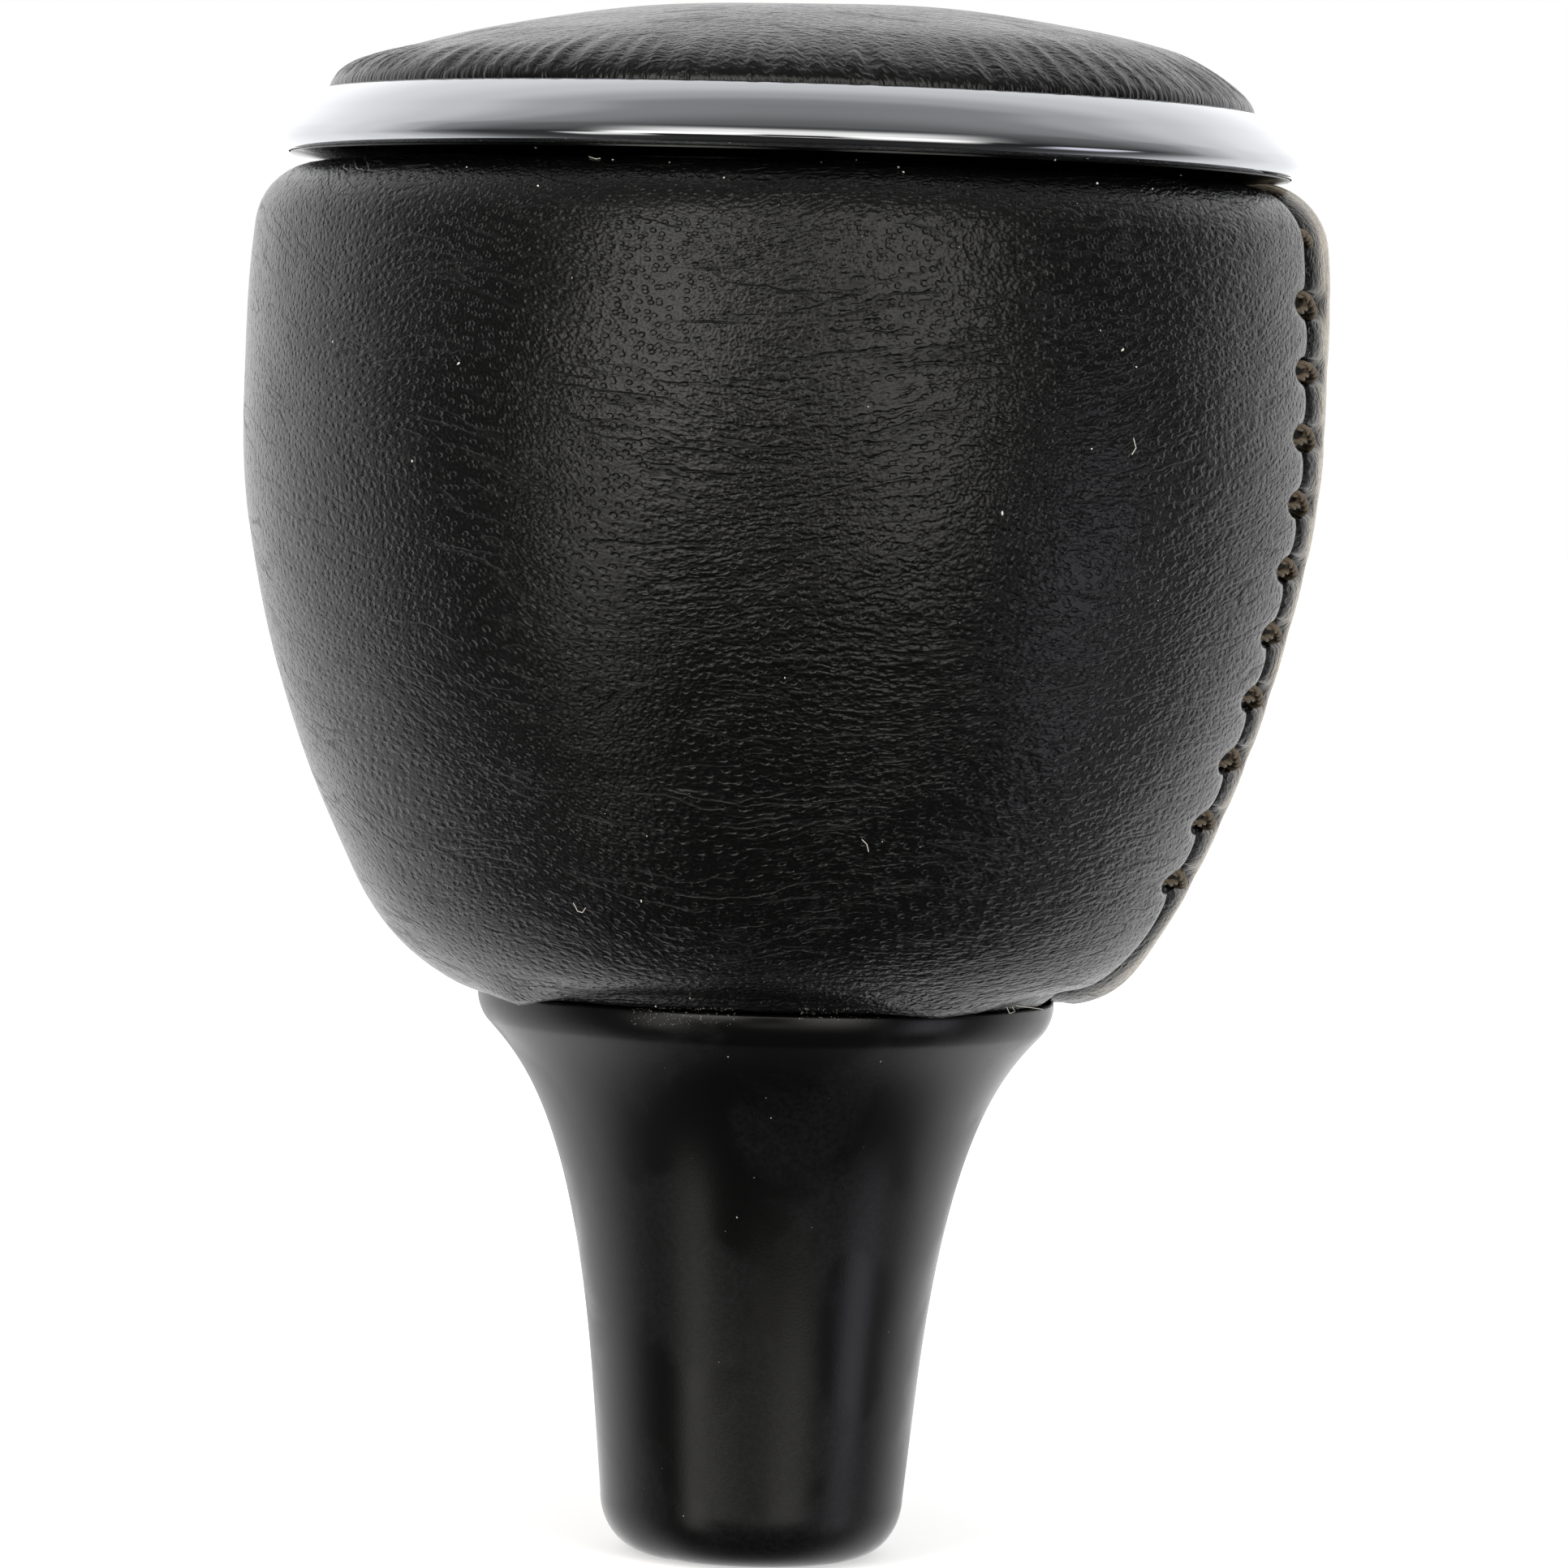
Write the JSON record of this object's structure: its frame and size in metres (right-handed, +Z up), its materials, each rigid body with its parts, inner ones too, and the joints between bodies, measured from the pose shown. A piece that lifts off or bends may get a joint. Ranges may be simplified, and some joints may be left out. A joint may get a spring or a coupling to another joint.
{
  "type": "gear shift knob",
  "caption": "Gear shift knob with a laced leather head, a bright ring round a padded top, and a flared moulded neck that screws on to the lever.",
  "frame": {"origin": "centre of the neck's foot, on its flat face", "axes": "+Z up along the lever's axis to the padded top, +X towards the laced seam"},
  "size_m": [0.0636, 0.0636, 0.0913],
  "materials": {
    "neck": "satin black glass-filled nylon",
    "threaded_insert": "turned and knurled",
    "head_core": "as moulded",
    "neck_screws": "zinc plated",
    "foam_sleeve": "cut foam sheet",
    "leather_wrap": "grained black leather",
    "seam_lacing": "waxed thread",
    "bezel_carrier": "smooth black, satin",
    "carrier_screws": "zinc plated",
    "chrome_ring": "bright plated",
    "pad_plate": "as moulded",
    "pad_foam": "moulded foam",
    "pad_leather": "grained black leather"
  },
  "bodies": {
    "root": {"neck": "neck", "threaded_insert": "threaded_insert", "head_core": "head_core", "neck_screws": "neck_screws", "foam_sleeve": "foam_sleeve", "leather_wrap": "leather_wrap", "seam_lacing": "seam_lacing", "bezel_carrier": "bezel_carrier", "carrier_screws": "carrier_screws", "chrome_ring": "chrome_ring", "pad_plate": "pad_plate", "pad_foam": "pad_foam", "pad_leather": "pad_leather"}
  },
  "joints": []
}
